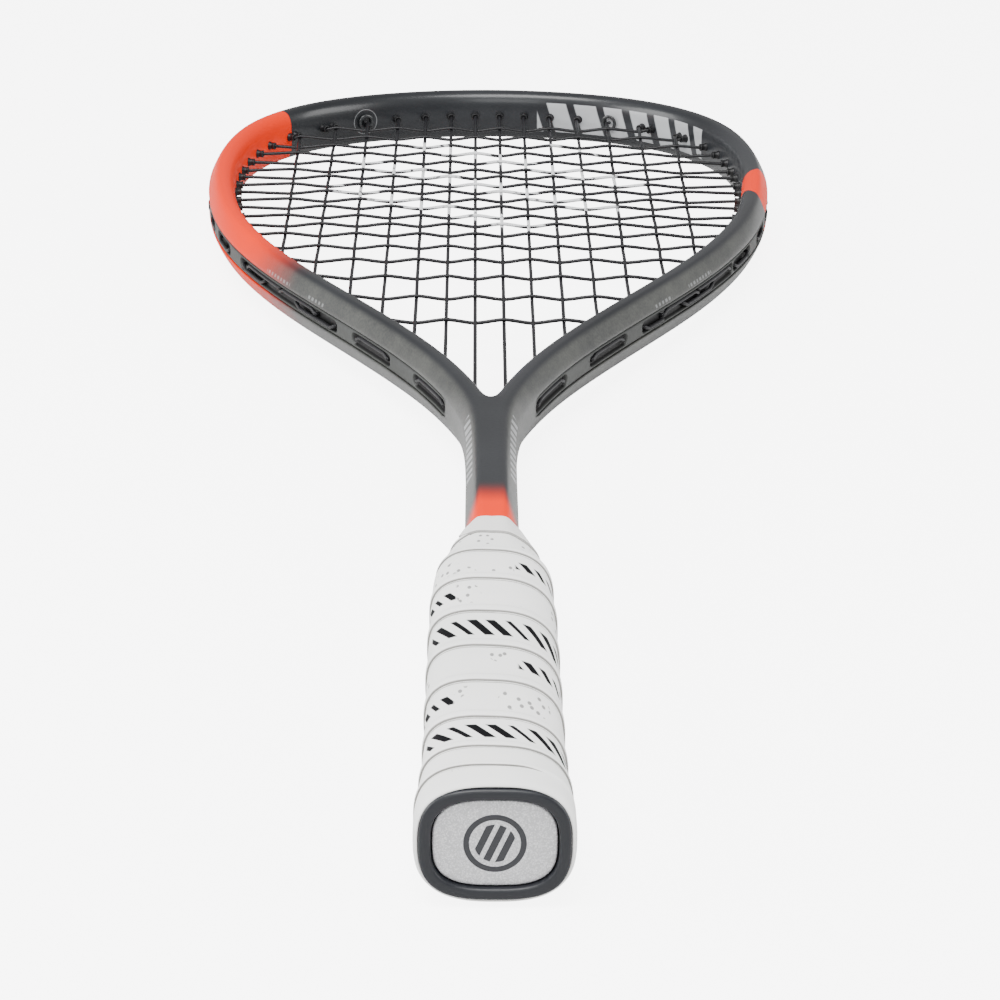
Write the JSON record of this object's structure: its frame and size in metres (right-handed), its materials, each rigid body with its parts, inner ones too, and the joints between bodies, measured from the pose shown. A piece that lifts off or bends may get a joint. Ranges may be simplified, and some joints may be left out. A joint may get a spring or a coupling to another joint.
{
  "type": "squash racket",
  "caption": "Strung squash racket with a teardrop head on an open Y throat, woven strings held by grommet strips, and a spirally wrapped grip over a flared butt cap.",
  "frame": {"origin": "middle of the racket's box at the level of the butt's lowest side, so the racket lies flat on Z 0", "axes": "+Y runs from the butt to the tip of the head, +X across the head, +Z square to the string bed"},
  "size_m": [0.2153, 0.686, 0.0293],
  "materials": {
    "frame_paint": "satin charcoal paint with orange-red fades over a moulded carbon-fibre tube",
    "guard_plastic": "satin black nylon",
    "strip_plastic": "satin dark grey nylon",
    "sleeve_plastic": "smooth smoky nylon",
    "string_polymer": "satin black coated multifilament with a pale stencil",
    "pallet_foam": "moulded rigid foam",
    "cap_plastic": "satin dark plastic",
    "badge_foil": null,
    "staple_steel": "plain",
    "grip_skin": "matte white polyurethane wrap with embossed seams",
    "tape_film": "smooth white tape"
  },
  "bodies": {
    "root": {"frame": "frame_paint", "bumper_guard": "guard_plastic", "grommet_strip_right": "strip_plastic", "grommet_strip_left": "strip_plastic", "tie_off_sleeve_right": "sleeve_plastic", "tie_off_sleeve_left": "sleeve_plastic", "main_string": "string_polymer", "cross_string": "string_polymer", "handle_pallet": "pallet_foam", "butt_cap": "cap_plastic", "butt_badge": "badge_foil", "cap_staple_right": "staple_steel", "cap_staple_left": "staple_steel", "grip_tape": "grip_skin", "finishing_tape": "tape_film"}
  },
  "joints": []
}
